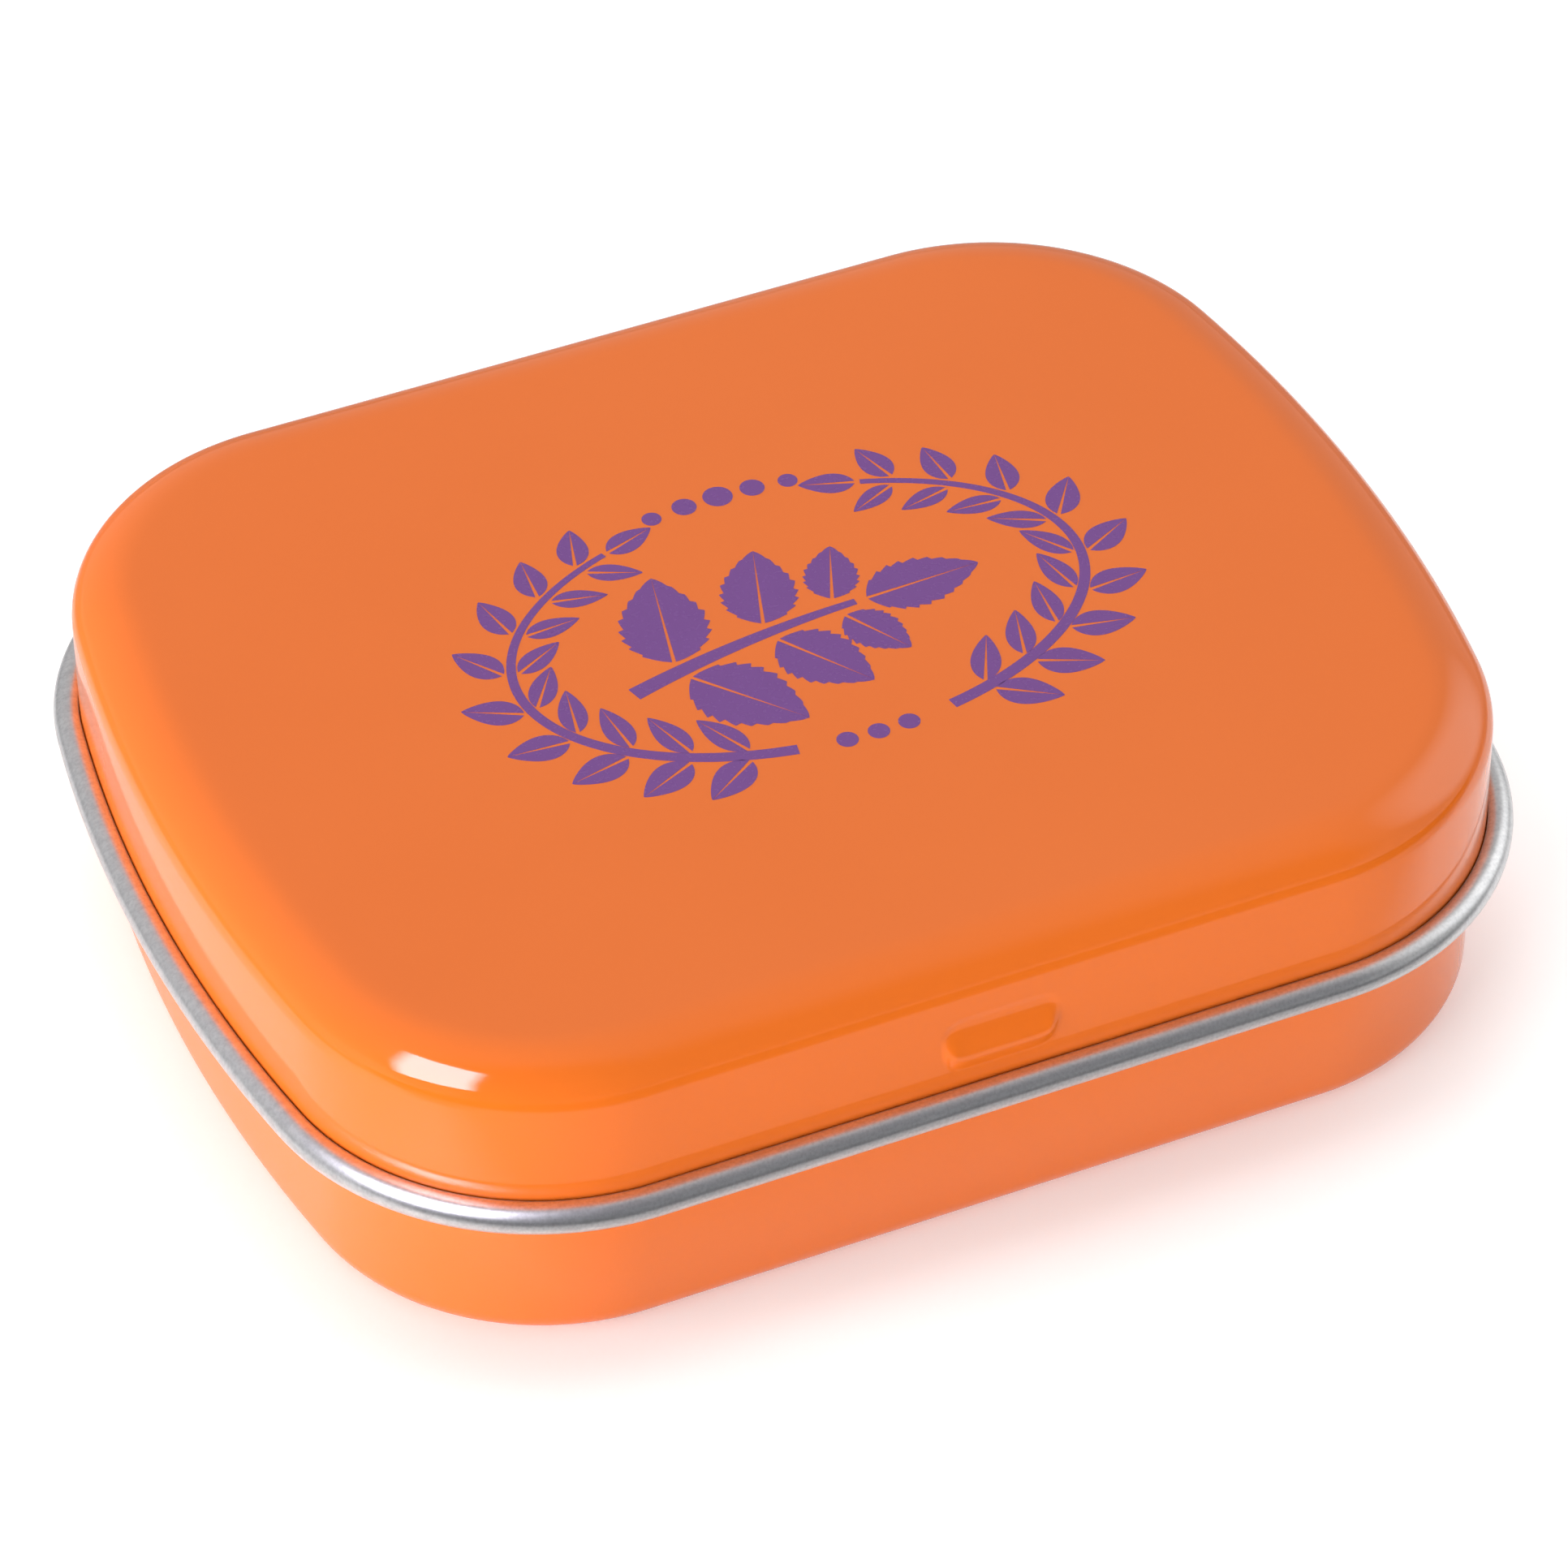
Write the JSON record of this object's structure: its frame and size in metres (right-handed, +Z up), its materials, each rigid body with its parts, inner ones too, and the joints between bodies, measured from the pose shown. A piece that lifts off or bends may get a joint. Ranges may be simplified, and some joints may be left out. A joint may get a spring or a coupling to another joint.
{
  "type": "hinged mint tin",
  "caption": "Rounded rectangular pocket tin in orange lacquer: a lid with a rolled silver bead swings open on its hinge ears over a shallow base that holds round white mints.",
  "frame": {"origin": "middle of the base's underside, in plan the middle of the lid's outline", "axes": "+X along the tin, +Y towards the hinge at the back, +Z up"},
  "size_m": [0.062, 0.0509, 0.016],
  "materials": {
    "orange_lacquer": "glossy orange lacquer on tinplate, bare satin tinplate inside and on the rolled bead",
    "mint": "chalky pressed white tablet"
  },
  "bodies": {
    "base": {"base_shell": "orange_lacquer", "mint_01": "mint", "mint_02": "mint", "mint_03": "mint", "mint_04": "mint", "mint_05": "mint", "mint_06": "mint", "mint_07": "mint", "mint_08": "mint", "mint_09": "mint", "mint_10": "mint", "mint_11": "mint", "mint_12": "mint", "mint_13": "mint", "mint_14": "mint", "mint_15": "mint", "mint_16": "mint", "mint_17": "mint", "mint_18": "mint", "mint_19": "mint", "mint_20": "mint", "mint_21": "mint", "mint_22": "mint", "mint_23": "mint", "mint_24": "mint", "mint_25": "mint", "mint_26": "mint", "mint_27": "mint", "mint_28": "mint", "mint_29": "mint", "mint_30": "mint", "mint_31": "mint", "mint_32": "mint", "mint_33": "mint", "mint_34": "mint", "mint_35": "mint", "mint_36": "mint", "mint_37": "mint", "mint_38": "mint", "mint_39": "mint", "mint_40": "mint", "mint_41": "mint", "mint_42": "mint", "mint_43": "mint"},
    "lid": {"lid_shell": "orange_lacquer"}
  },
  "joints": [
    {"name": "lid_hinge", "type": "hinge", "parent": "base", "child": "lid", "pos_m": [0, 0.02455, 0.00845], "axis": [-1, 0, 0], "range_deg": [0, 110]}
  ]
}
